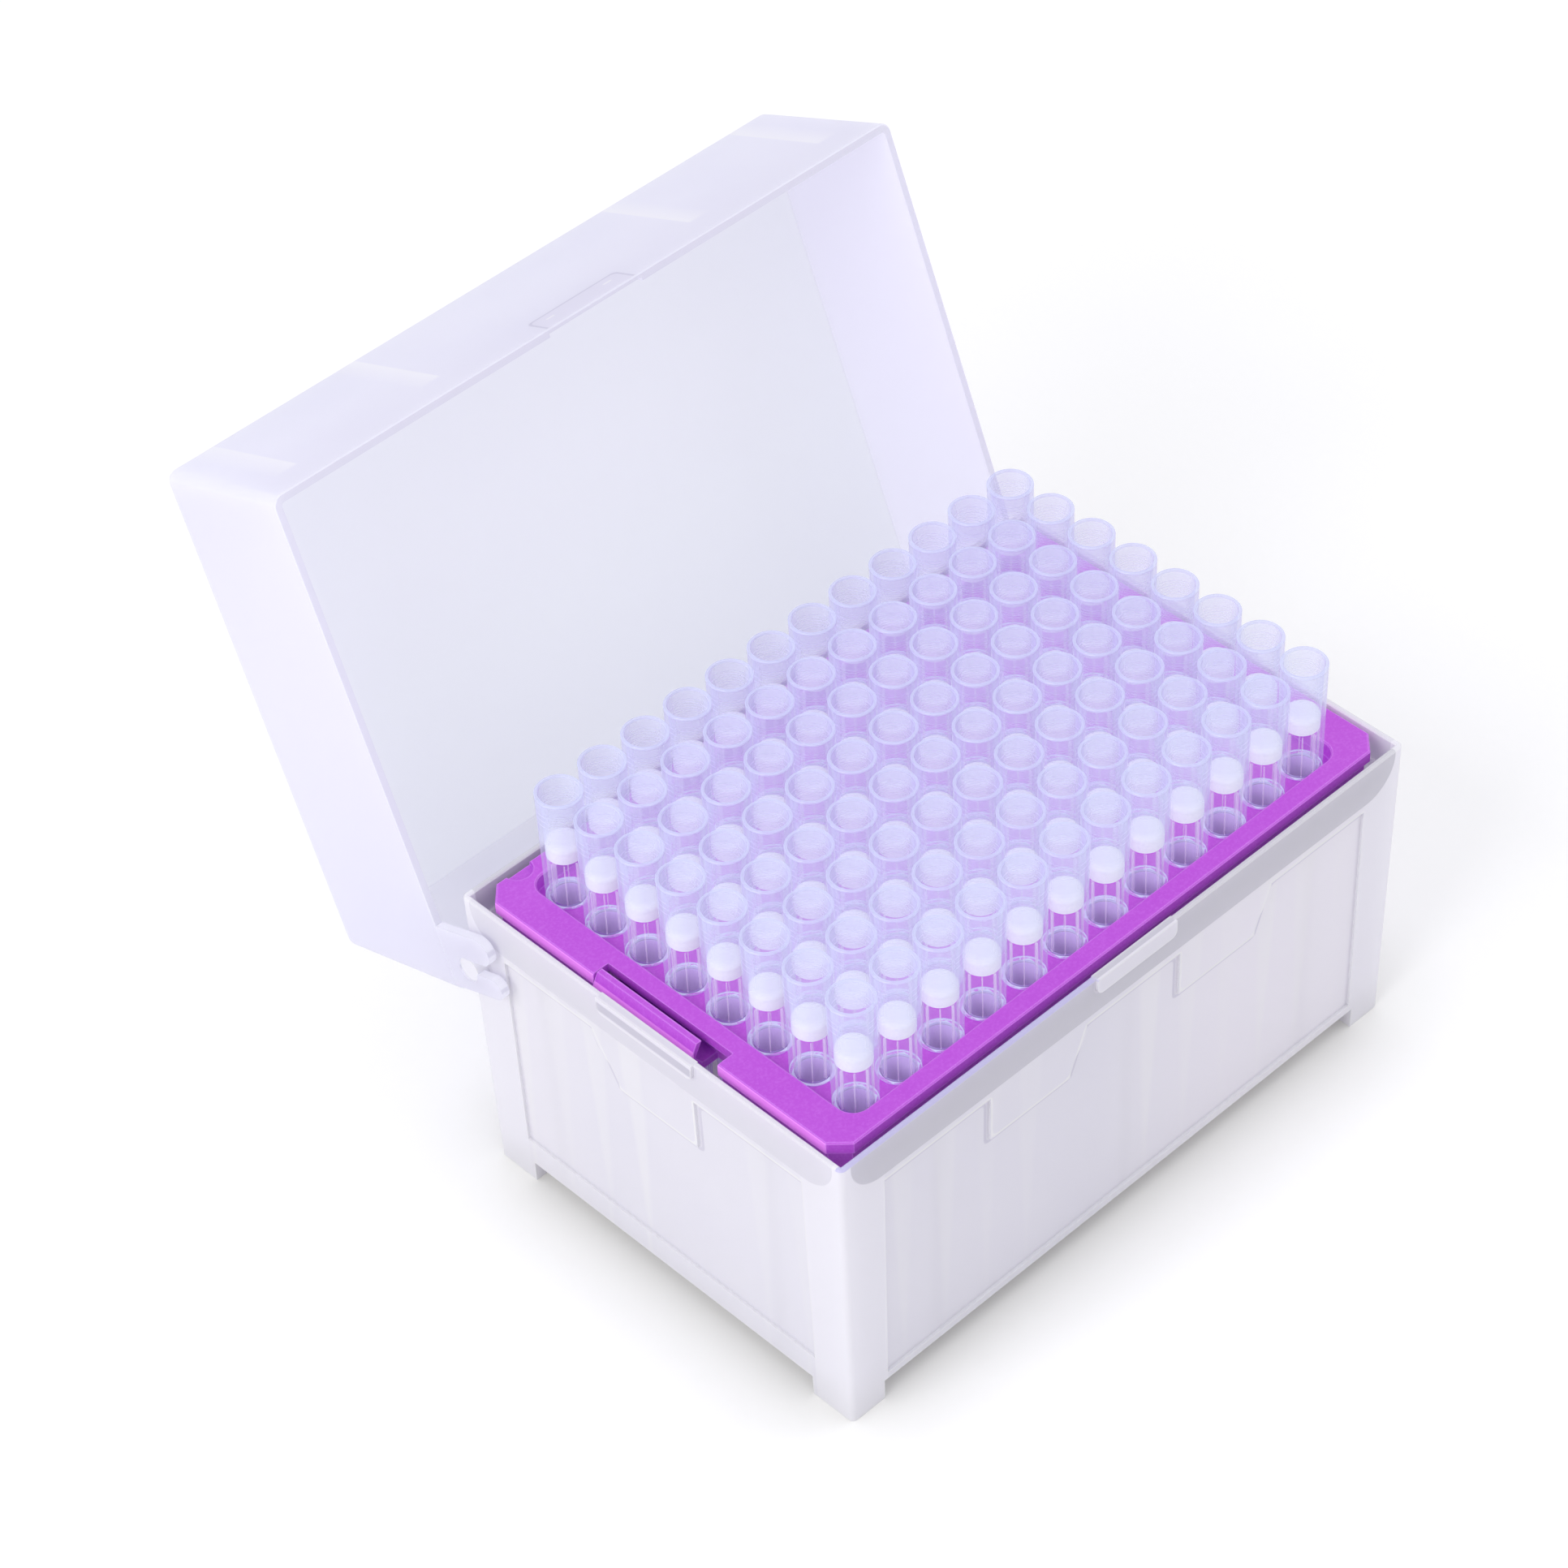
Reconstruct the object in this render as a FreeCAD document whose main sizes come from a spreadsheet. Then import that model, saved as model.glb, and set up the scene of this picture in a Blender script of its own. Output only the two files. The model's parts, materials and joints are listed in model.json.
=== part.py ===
import FreeCAD, Part
import math
import os
import re
import Sketcher
from FreeCAD import Placement, Rotation, Vector

# A hinged box for pipette tips: a drafted base on four feet, a perforated rack that
# hangs in its mouth, 12 columns of 8 filter tips at the 9 mm pitch, and a lid that
# snaps over two side pins and stands open against the back of the base.
# Millimetres, +Z up. X runs along the 12 columns, Y from the latch to the hinge, and
# the origin is the centre of the base's footprint, on the plane under its feet.

doc = FreeCAD.newDocument("tip_box")

SIZES = {
    # the grid, and the tips that stand in it
    "pitch": 9.0,
    "columns": 12,
    "rows": 8,
    "tip_gap": 1.3,
    "head_flare": 0.28,
    "shoulder": 0.67,
    "rim_wall": 0.65,
    "seat_narrowing": 0.22,
    "tip_head_height": 22.0,
    "tip_shank_length": 49.5,
    "tip_end_radius": 0.62,
    "seat_depth": 13.2,
    "filter_clearance": 0.03,
    "filter_height": 3.3,
    "head_flats": 6,
    "shank_flats": 6,
    # rack
    "tray_gap_end": 0.65,
    "tray_gap_side": 0.25,
    "tray_corner": 3.0,
    "frame_end": 6.4,
    "frame_side": 3.6,
    "frame_wall": 1.5,
    "frame_roof": 1.7,
    "rack_chamfer": 3.0,
    "rack_proud": 0.5,
    "flange_height": 2.2,
    "flange_bevel": 0.25,
    "skirt_inset": 0.8,
    "skirt_wall": 1.3,
    "plate_drop": 2.7,
    "plate_thickness": 2.0,
    "hole_clearance": 0.15,
    "thumb_radius": 2.5,
    "thumb_depth": 0.8,
    "thumb_from_end": 7.4,
    # clip on the rack's left end
    "clip_back": 13.9,
    "clip_front": 13.4,
    "clip_gap": 5.3,
    "clip_play": 0.1,
    "clip_slot": 3.2,
    "clip_thickness": 1.0,
    "clip_lean": 1.4,
    "clip_foot_lean": 0.2,
    "clip_nose_drop": 2.7,
    "clip_web": 1.4,
    # base
    "rack_gap_end": 1.25,
    "rack_gap_side": 1.5,
    "tip_floor_gap": 1.8,
    "lip_wall": 1.0,
    "lip_depth": 5.6,
    "base_wall": 1.5,
    "base_taper": 1.15,
    "base_corner": 1.0,
    "floor_thickness": 1.5,
    "foot_height": 4.2,
    "foot_length": 7.0,
    "foot_width": 8.6,
    "foot_round": 1.0,
    "rim_bevel": 0.25,
    "rib_thickness": 1.2,
    "rib_spacing": 42.0,
    "side_rib_spacing": 50.0,
    "rib_bearing": 1.6,
    "rib_root": 0.5,
    # shallow panels, and the raised band with tongues above them
    "panel_depth": 0.5,
    "panel_drop": 8.8,
    "panel_margin": 8.9,
    "panel_foot": 1.5,
    "side_panel_foot": 5.2,
    "tongue_drop": 18.0,
    "tongue_width": 17.5,
    "tongue_flare": 3.5,
    "tongue_start": 10.8,
    "tongue_spacing": 42.0,
    "side_tongue_drop": 19.0,
    "side_tongue_width": 17.3,
    "side_tongue_flare": 5.3,
    "side_tongue_start": -9.7,
    # catch bars at the rim
    "bar_length": 17.7,
    "bar_shift": 0.35,
    "bar_height": 3.2,
    "bar_proud": 0.5,
    "bar_round": 1.2,
    "side_bar_length": 21.0,
    # hinge
    "hinge_from_back": 2.8,
    "hinge_under_rim": 12.8,
    "pin_radius": 2.1,
    "pin_clearance": 0.08,
    "pin_reach": 2.1,
    "stop_clearance": 0.229,
    # lid, closed, measured from the hinge line
    "lid_gap_end": 1.05,
    "lid_gap_side": 1.3,
    "lid_headroom": 2.5,
    "lid_shift": 0.15,
    "lid_rim_rise": 5.0,
    "lid_taper": 0.6,
    "lid_wall": 1.4,
    "lid_corner": 2.0,
    "hook_thickness": 1.5,
    "hook_set_in": 0.1,
    "hook_front": 6.9,
    "hook_from_back": 1.4,
    "mouth_front": 2.0,
    "mouth_back": 0.4,
    "hook_drop": 7.5,
    "hook_root": 4.0,
    "lid_bevel": 0.25,
    "catch_clearance": 0.9,
    "catch_depth": 0.6,
}

sheet = doc.addObject("Spreadsheet::Sheet", "Sizes")
for row, (name, size) in enumerate(SIZES.items(), 1):
    sheet.set(f"A{row}", name)
    sheet.set(f"B{row}", str(size))
    sheet.setAlias(f"B{row}", name)
doc.recompute()


def bound(text):
    """The expression with each size's name pointed at its cell."""
    return re.sub(r"[a-z_]+", lambda word: f"Sizes.{word[0]}" if word[0] in SIZES else word[0], text)


def value(text):
    """What the expression comes to now."""
    return float(getattr(sheet.evalExpression(bound(text)), "Value", sheet.evalExpression(bound(text))))


# Tips stand one gap apart, and each narrows from its rim to its neck, shank and seat.
TIP_RIM = "((pitch - tip_gap) / 2)"
TIP_NECK = f"({TIP_RIM} - head_flare)"
TIP_SHANK = f"({TIP_NECK} - shoulder)"
MOUTH = f"({TIP_RIM} - rim_wall)"
TIP_SEAT = f"({MOUTH} - seat_narrowing)"

# The rack's tray holds the grid, the base holds the rack, and the lid goes over the base.
TRAY_LENGTH = f"((columns - 1) * pitch + 2 * ({TIP_RIM} + tray_gap_end))"
TRAY_WIDTH = f"((rows - 1) * pitch + 2 * ({TIP_RIM} + tray_gap_side))"
RACK_LENGTH = f"({TRAY_LENGTH} + 2 * frame_end)"
RACK_WIDTH = f"({TRAY_WIDTH} + 2 * frame_side)"
BASE_LENGTH = f"({RACK_LENGTH} + 2 * (rack_gap_end + lip_wall))"
BASE_WIDTH = f"({RACK_WIDTH} + 2 * (rack_gap_side + lip_wall))"
LID_LENGTH = f"({BASE_LENGTH} + 2 * (lid_gap_end + lid_wall))"
LID_WIDTH = f"({BASE_WIDTH} + 2 * (lid_gap_side + lid_wall))"

# Levels, from the floor that the tips' ends clear up to the rim that the rack stands proud of.
FLOOR = "(foot_height + floor_thickness)"
PLATE_TOP = f"({FLOOR} + tip_floor_gap + tip_shank_length)"
PLATE_UNDER = f"({PLATE_TOP} - plate_thickness)"
TIP_TOP = f"({PLATE_TOP} + tip_head_height)"
RACK_TOP = f"({PLATE_TOP} + plate_drop)"
RIM = f"({RACK_TOP} - rack_proud)"
SEAT = f"({RIM} - lip_depth)"

# The hinge line, and the lid's sizes that start from it.
HINGE_BACK = f"({BASE_WIDTH} / 2 - hinge_from_back)"
HINGE_HEIGHT = f"({RIM} - hinge_under_rim)"
LID_MIDDLE = f"(lid_shift - {HINGE_BACK})"
LID_BACK = f"({LID_WIDTH} / 2 + {LID_MIDDLE})"
LID_DEPTH = f"({TIP_TOP} + lid_headroom + lid_wall - {HINGE_HEIGHT} - lid_rim_rise)"
LID_LEAN = f"atan(lid_taper / {LID_DEPTH})"
BASE_LEAN = f"atan(base_taper / {RIM})"

# The lid stands open where its back edge is a clearance from the base's leaning back wall.
EDGE_REACH = f"sqrt(lid_rim_rise^2 + {LID_BACK}^2)"
WALL_REACH = f"((hinge_from_back - hinge_under_rim * base_taper / {RIM}) * cos({BASE_LEAN}))"
EDGE_TURN = f"acos(({WALL_REACH} + stop_clearance) / {EDGE_REACH})"
OPEN_ANGLE = f"(atan(lid_rim_rise / {LID_BACK}) + {BASE_LEAN} + {EDGE_TURN})"


def new_body(label):
    body = doc.addObject("PartDesign::Body", label)
    body.Label = label
    return body


def new_sketch(body, role, offset="0", lean="0"):
    """A sketch on one of the body's own planes, moved along its normal and leaned about its x."""
    sketch = body.newObject("Sketcher::SketchObject", "Sketch")
    plane = next(f for f in body.Origin.OriginFeatures if f.Role == role)
    sketch.AttachmentSupport = [(plane, "")]
    sketch.MapMode = "FlatFace"
    sketch.AttachmentOffset = Placement(Vector(0, 0, 0), Rotation(Vector(1, 0, 0), 1))
    sketch.setExpression("AttachmentOffset.Base.z", bound(offset))
    sketch.setExpression("AttachmentOffset.Rotation.Angle", bound(lean))
    return sketch


def bind(sketch, kind, point, text):
    """Holds one coordinate of a sketch point at an expression."""
    index = sketch.addConstraint(Sketcher.Constraint(kind, -1, 1, *point, value(text)))
    sketch.setExpression(f"Constraints[{index}]", bound(text))


def draw(sketch, corners):
    """A closed outline. A corner is (x, y), or (x, y, turn, middle) where an arc leaves it:
    turn is 'left' for an anticlockwise arc, and middle is the y of the arc's centre."""
    spots = [Vector(value(c[0]), value(c[1]), 0) for c in corners]
    ends = []
    for i, corner in enumerate(corners):
        here, there = spots[i], spots[(i + 1) % len(spots)]
        if len(corner) == 2:
            ends.append(((sketch.addGeometry(Part.LineSegment(here, there), False), 1), 2))
            continue
        middle = value(corner[3])
        across = there.x**2 - here.x**2 + there.y**2 - here.y**2 - 2 * middle * (there.y - here.y)
        centre = Vector(across / (2 * (there.x - here.x)), middle, 0)
        ring = Part.Circle(centre, Vector(0, 0, 1), (here - centre).Length)
        left = corner[2] == "left"
        first, last = (here, there) if left else (there, here)
        start = math.atan2(first.y - middle, first.x - centre.x)
        end = math.atan2(last.y - middle, last.x - centre.x)
        arc = sketch.addGeometry(Part.ArcOfCircle(ring, start, end), False)
        ends.append(((arc, 1 if left else 2), 2 if left else 1))
        bind(sketch, "DistanceY", (arc, 3), corner[3])
    for i, ((line, start), end) in enumerate(ends):
        sketch.addConstraint(Sketcher.Constraint("Coincident", line, end, *ends[(i + 1) % len(ends)][0]))
        bind(sketch, "DistanceX", (line, start), corners[i][0])
        bind(sketch, "DistanceY", (line, start), corners[i][1])


def rectangle(sketch, left, right, low, high):
    draw(sketch, [(left, low), (right, low), (right, high), (left, high)])


def centred(sketch, length, width, middle="0"):
    """A rectangle across the sketch's y axis."""
    rectangle(
        sketch,
        f"-({length}) / 2",
        f"({length}) / 2",
        f"{middle} - ({width}) / 2",
        f"{middle} + ({width}) / 2",
    )


def round_share(flats):
    """How far a polygon's corners stand out from the circle of the same area."""
    turn = 2 * math.pi / flats
    return math.sqrt(turn / math.sin(turn))


def flat_share(flats):
    """How far a polygon's flats stand from its centre, for a circle of 1."""
    return round_share(flats) * math.cos(math.pi / flats)


def polygon(sketch, radius, flats, x="0", y="0"):
    """A regular polygon as large as the circle, with flats facing along the sketch's x axis."""
    reach = f"({radius}) * {round_share(flats)}"
    turns = [(k + 0.5) * 360 / flats for k in range(flats)]
    draw(sketch, [(f"{x} + {reach} * cos({a})", f"{y} + {reach} * sin({a})") for a in turns])


def extrude(body, kind, sketch, length, back=False):
    """Pads or pockets a sketch. The body must gain by a pad and lose by a pocket."""
    before = body.Shape.Volume if body.Tip else 0.0
    feature = body.newObject(f"PartDesign::{kind}", kind)
    feature.Profile = sketch
    feature.Reversed = back
    feature.setExpression("Length", bound(length))
    doc.recompute()
    change = body.Shape.Volume - before
    if (change > 0) != (kind == "Pad") or abs(change) < 1e-6:
        raise ValueError(f"{body.Label}: {kind} on {sketch.Name} changed nothing: {change:.3f} mm3")
    return feature


def draft(body, lean, height, adds, back=False):
    """Leans every upright flat face about the level at the height, which adds or takes material."""
    base = body.Tip
    before = base.Shape.Volume
    faces = list(enumerate(base.Shape.Faces, 1))
    flat = [(i, f) for i, f in faces if f.Surface.TypeId == "Part::GeomPlane"]
    upright_faces = [f"Face{i}" for i, f in flat if abs(f.Surface.Axis.z) < 1e-9]
    neutral = [f"Face{i}" for i, f in flat if level(f, value(height))]
    feature = body.newObject("PartDesign::Draft", "Draft")
    feature.Base = (base, upright_faces)
    feature.NeutralPlane = (base, neutral[:1])
    feature.Reversed = back
    feature.setExpression("Angle", bound(lean))
    doc.recompute()
    change = body.Shape.Volume - before
    if (change > 0) != adds or abs(change) < 1e-6:
        raise ValueError(f"{body.Label}: the draft at {height} leans the wrong way: {change:.3f} mm3")
    return feature


def dress(body, kind, size, wanted):
    """Fillets or chamfers the edges of the body that wanted() picks."""
    base = body.Tip
    names = [f"Edge{i}" for i, edge in enumerate(base.Shape.Edges, 1) if wanted(edge)]
    if not names:
        raise ValueError(f"{body.Label}: no edge for {kind} {size}")
    feature = body.newObject(f"PartDesign::{kind}", kind)
    feature.Base = (base, names)
    feature.setExpression("Radius" if kind == "Fillet" else "Size", bound(size))
    doc.recompute()
    return feature


def repeat(body, kind, features, **settings):
    """A pattern or mirror of the features, as the body's last step."""
    pattern = body.newObject(f"PartDesign::{kind}", kind)
    pattern.Originals = features
    for name, setting in settings.items():
        if isinstance(setting, str):
            pattern.setExpression(name, bound(setting))
        else:
            setattr(pattern, name, setting)
    body.Tip = pattern
    doc.recompute()
    return pattern


def plane_of(body, role):
    return (next(f for f in body.Origin.OriginFeatures if f.Role == role), [""])


def upright(edge, low, high):
    """Whether the edge rises all the way from one level to the other."""
    box = edge.BoundBox
    return abs(box.ZMin - low) < 0.05 and abs(box.ZMax - high) < 0.05


def level(shape, height):
    """Whether the edge or face lies flat at the height."""
    return abs(shape.BoundBox.ZMin - height) < 0.01 and abs(shape.BoundBox.ZMax - height) < 0.01


def make_base():
    """The base: a drafted tray with a thinned lip, four feet, ribs, panels, bars and pins."""
    body = new_body("base_box")
    outside = new_sketch(body, "XY_Plane", RIM)
    centred(outside, BASE_LENGTH, BASE_WIDTH)
    extrude(body, "Pad", outside, RIM, back=True)
    draft(body, BASE_LEAN, RIM, adds=False, back=True)
    inside = new_sketch(body, "XY_Plane", RIM)
    centred(inside, f"{BASE_LENGTH} - 2 * base_wall", f"{BASE_WIDTH} - 2 * base_wall")
    extrude(body, "Pocket", inside, f"{RIM} - {FLOOR}")
    draft(body, BASE_LEAN, RIM, adds=True)
    lip = new_sketch(body, "XY_Plane", RIM)
    centred(lip, f"{BASE_LENGTH} - 2 * lip_wall", f"{BASE_WIDTH} - 2 * lip_wall")
    extrude(body, "Pocket", lip, "lip_depth")
    draft(body, BASE_LEAN, RIM, adds=True)
    dress(body, "Fillet", "base_corner", lambda e: upright(e, 0, value(RIM)))
    dress(body, "Chamfer", "rim_bevel", lambda e: level(e, value(RIM)))

    # the walls stop short of the floor between the feet
    across = new_sketch(body, "XY_Plane")
    centred(across, f"{BASE_LENGTH} - 2 * base_taper - 2 * foot_length", BASE_WIDTH)
    extrude(body, "Pocket", across, "foot_height", back=True)
    along = new_sketch(body, "XY_Plane")
    centred(along, BASE_LENGTH, f"{BASE_WIDTH} - 2 * base_taper - 2 * foot_width")
    extrude(body, "Pocket", along, "foot_height", back=True)
    inner_x = value(f"{BASE_LENGTH} / 2 - base_taper - foot_length")
    inner_y = value(f"{BASE_WIDTH} / 2 - base_taper - foot_width")

    def foot_corner(edge):
        centre = edge.BoundBox.Center
        near = abs(abs(centre.x) - inner_x) < 0.1 and abs(abs(centre.y) - inner_y) < 0.1
        return near and upright(edge, 0, value("foot_height"))

    dress(body, "Fillet", "foot_round", foot_corner)

    # ribs stand on the floor and carry the rack's skirt
    root_x = f"{BASE_LENGTH} / 2 - base_taper - rib_root"
    root_y = f"{BASE_WIDTH} / 2 - base_taper - rib_root"
    bearing_x = f"{RACK_LENGTH} / 2 - skirt_inset - rib_bearing"
    bearing_y = f"{RACK_WIDTH} / 2 - skirt_inset - rib_bearing"
    for place in ("-rib_spacing", "0", "rib_spacing"):
        rib = new_sketch(body, "XY_Plane", FLOOR)
        rectangle(rib, f"{place} - rib_thickness / 2", f"{place} + rib_thickness / 2", bearing_y, root_y)
        pad = extrude(body, "Pad", rib, f"{SEAT} - {FLOOR}")
        repeat(body, "Mirrored", [pad], MirrorPlane=plane_of(body, "XZ_Plane"))
    for place in ("-side_rib_spacing / 2", "side_rib_spacing / 2"):
        rib = new_sketch(body, "XY_Plane", FLOOR)
        rectangle(rib, bearing_x, root_x, f"{place} - rib_thickness / 2", f"{place} + rib_thickness / 2")
        pad = extrude(body, "Pad", rib, f"{SEAT} - {FLOOR}")
        repeat(body, "Mirrored", [pad], MirrorPlane=plane_of(body, "YZ_Plane"))

    # shallow panels in the walls, which leave a raised band with tongues above them
    long_panel = new_sketch(body, "XZ_Plane", f"{BASE_WIDTH} / 2 - base_taper", BASE_LEAN)
    top = f"{RIM} - panel_drop"
    low = "foot_height + panel_foot"
    dip = f"{RIM} - tongue_drop"
    half = f"{BASE_LENGTH} / 2 - panel_margin"
    outline = [(f"-({half})", low), (half, low), (half, top)]
    for shift in ("", " - tongue_spacing"):
        outline += tongue(f"tongue_start{shift}", "tongue_width", "tongue_flare", top, dip)
    outline += [(f"-({half})", top)]
    draw(long_panel, outline)
    cut = extrude(body, "Pocket", long_panel, "panel_depth")
    repeat(body, "Mirrored", [cut], MirrorPlane=plane_of(body, "XZ_Plane"))

    side_panel = new_sketch(body, "YZ_Plane", f"{BASE_LENGTH} / 2 - base_taper", BASE_LEAN)
    low = "foot_height + side_panel_foot"
    dip = f"{RIM} - side_tongue_drop"
    half = f"{BASE_WIDTH} / 2 - panel_margin"
    outline = [(f"-({half})", low), (half, low), (half, top)]
    outline += tongue("side_tongue_start", "side_tongue_width", "side_tongue_flare", top, dip)
    outline += [(f"-({half})", top)]
    draw(side_panel, outline)
    cut = extrude(body, "Pocket", side_panel, "panel_depth")
    repeat(body, "Mirrored", [cut], MirrorPlane=plane_of(body, "YZ_Plane"))

    # catch bars under the rim, on the front and on both ends
    front_bar = new_sketch(body, "XZ_Plane", f"{BASE_WIDTH} / 2 + bar_proud")
    ends = ("bar_shift - bar_length / 2", "bar_shift + bar_length / 2")
    rectangle(front_bar, *ends, f"{RIM} - bar_height", RIM)
    extrude(body, "Pad", front_bar, "bar_proud + lip_wall", back=True)

    def bar_corner(edge):
        centre = edge.BoundBox.Center
        outside = centre.y < -value(BASE_WIDTH) / 2 and level(edge, value(f"{RIM} - bar_height"))
        return outside and min(abs(centre.x - value(place)) for place in ends) < 0.01

    dress(body, "Fillet", "bar_round", bar_corner)
    side_bar = new_sketch(body, "YZ_Plane", f"{BASE_LENGTH} / 2 + bar_proud")
    rectangle(side_bar, "-side_bar_length / 2", "side_bar_length / 2", f"{RIM} - bar_height", RIM)
    pad = extrude(body, "Pad", side_bar, "bar_proud + lip_wall", back=True)
    repeat(body, "Mirrored", [pad], MirrorPlane=plane_of(body, "YZ_Plane"))

    def side_bar_corner(edge):
        centre = edge.BoundBox.Center
        outside = abs(centre.x) > value(BASE_LENGTH) / 2 and level(edge, value(f"{RIM} - bar_height"))
        return outside and abs(abs(centre.y) - value("side_bar_length") / 2) < 0.01

    dress(body, "Fillet", "bar_round", side_bar_corner)

    # hinge pins on both ends
    pin = new_sketch(body, "YZ_Plane", f"{BASE_LENGTH} / 2 - base_wall")
    circle(pin, HINGE_BACK, HINGE_HEIGHT, "pin_radius")
    pad = extrude(body, "Pad", pin, "base_wall + pin_reach")
    repeat(body, "Mirrored", [pad], MirrorPlane=plane_of(body, "YZ_Plane"))
    return body


def tongue(start, width, flare, top, dip):
    """A raised tongue that hangs from the band, drawn from its flared side to its straight one."""
    right = f"{start} + {width}"
    middle = f"{right} + {flare} / 2"
    return [
        (f"{right} + {flare}", top, "right", top),
        (middle, f"({top} + {dip}) / 2", "left", dip),
        (right, dip),
        (start, dip),
        (start, top),
    ]


def circle(sketch, x, y, radius):
    spot = Vector(value(x), value(y), 0)
    ring = sketch.addGeometry(Part.Circle(spot, Vector(0, 0, 1), value(radius)), False)
    index = sketch.addConstraint(Sketcher.Constraint("Radius", ring, value(radius)))
    sketch.setExpression(f"Constraints[{index}]", bound(radius))
    bind(sketch, "DistanceX", (ring, 3), x)
    bind(sketch, "DistanceY", (ring, 3), y)


def make_rack():
    """The rack: a hollow frame with a flange, a sunk plate of 96 holes and one side clip."""
    body = new_body("tip_rack")
    skirt = new_sketch(body, "XY_Plane", SEAT)
    centred(skirt, f"{RACK_LENGTH} - 2 * skirt_inset", f"{RACK_WIDTH} - 2 * skirt_inset")
    extrude(body, "Pad", skirt, f"{RACK_TOP} - flange_height - {SEAT}")
    step = value(f"{RACK_TOP} - flange_height")
    dress(body, "Chamfer", "rack_chamfer - skirt_inset / 2", lambda e: upright(e, value(SEAT), step))
    flange = new_sketch(body, "XY_Plane", f"{RACK_TOP} - flange_height")
    centred(flange, RACK_LENGTH, RACK_WIDTH)
    extrude(body, "Pad", flange, "flange_height")
    dress(body, "Chamfer", "rack_chamfer", lambda e: upright(e, step, value(RACK_TOP)))

    tray = new_sketch(body, "XY_Plane", RACK_TOP)
    centred(tray, TRAY_LENGTH, TRAY_WIDTH)
    extrude(body, "Pocket", tray, "plate_drop")
    dress(body, "Fillet", "tray_corner", lambda e: upright(e, value(PLATE_TOP), value(RACK_TOP)))
    dress(body, "Chamfer", "flange_bevel", lambda e: level(e, value(RACK_TOP)))
    under = new_sketch(body, "XY_Plane", SEAT)
    centred(under, TRAY_LENGTH, TRAY_WIDTH)
    extrude(body, "Pocket", under, f"{PLATE_UNDER} - {SEAT}", back=True)
    trough = new_sketch(body, "XY_Plane", SEAT)
    # the skirt keeps one wall's thickness round its bevelled corners
    end = f"{RACK_LENGTH} / 2 - skirt_inset - skirt_wall"
    half = f"{RACK_WIDTH} / 2 - skirt_inset - skirt_wall"
    bevel = "(rack_chamfer - skirt_inset / 2 - (2 - sqrt(2)) * skirt_wall)"
    start = f"{TRAY_LENGTH} / 2 + frame_wall"
    draw(
        trough,
        [
            (start, f"-({half})"),
            (f"{end} - {bevel}", f"-({half})"),
            (end, f"-({half}) + {bevel}"),
            (end, f"{half} - {bevel}"),
            (f"{end} - {bevel}", half),
            (start, half),
        ],
    )
    cut = extrude(body, "Pocket", trough, f"{RACK_TOP} - frame_roof - {SEAT}", back=True)
    repeat(body, "Mirrored", [cut], MirrorPlane=plane_of(body, "YZ_Plane"))

    thumb = new_sketch(body, "XY_Plane", RACK_TOP)
    circle(thumb, f"-({RACK_LENGTH} / 2 - thumb_from_end)", f"{RACK_WIDTH} / 2", "thumb_radius")
    extrude(body, "Pocket", thumb, "thumb_depth")

    # the left side is cut open for a clip that leans outwards on a web at the frame's foot
    side = f"-{RACK_LENGTH} / 2"
    window = new_sketch(body, "XY_Plane", RACK_TOP)
    rectangle(window, f"{side} - clip_slot", f"{side} + clip_slot", "-clip_front", "clip_back")
    extrude(body, "Pocket", window, f"{RACK_TOP} - {SEAT}")
    clip = new_sketch(body, "XZ_Plane", "clip_front - clip_gap")
    tip = f"{side} + skirt_inset"
    nose = f"{RACK_TOP} - clip_nose_drop"
    draw(
        clip,
        [
            (f"-({TRAY_LENGTH} + frame_wall) / 2", SEAT),
            (f"{tip} - clip_foot_lean", SEAT),
            (f"{tip} - clip_lean", nose),
            (tip, RACK_TOP),
            (f"{tip} + clip_thickness", RACK_TOP),
            (f"{tip} - clip_lean + clip_thickness", nose),
            (f"{tip} + clip_thickness", f"{SEAT} + clip_web"),
            (f"-({TRAY_LENGTH} + frame_wall) / 2", f"{SEAT} + clip_web"),
        ],
    )
    extrude(body, "Pad", clip, "clip_back - clip_play + clip_front - clip_gap", back=True)

    # one hole for each tip
    hole = new_sketch(body, "XY_Plane", PLATE_TOP)
    first = ("-(columns - 1) * pitch / 2", "-(rows - 1) * pitch / 2")
    polygon(hole, f"{TIP_SHANK} + hole_clearance", int(value("shank_flats")), *first)
    cut = extrude(body, "Pocket", hole, "plate_thickness")
    holes = body.newObject("PartDesign::MultiTransform", "Holes")
    steps = []
    for axis, count in (("H_Axis", "columns"), ("V_Axis", "rows")):
        line = body.newObject("PartDesign::LinearPattern", "Line")
        line.Direction = (hole, [axis])
        line.setExpression("Length", bound(f"({count} - 1) * pitch"))
        line.setExpression("Occurrences", bound(count))
        steps.append(line)
    holes.Originals = [cut]
    holes.Transformations = steps
    body.Tip = holes
    doc.recompute()
    return body


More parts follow.
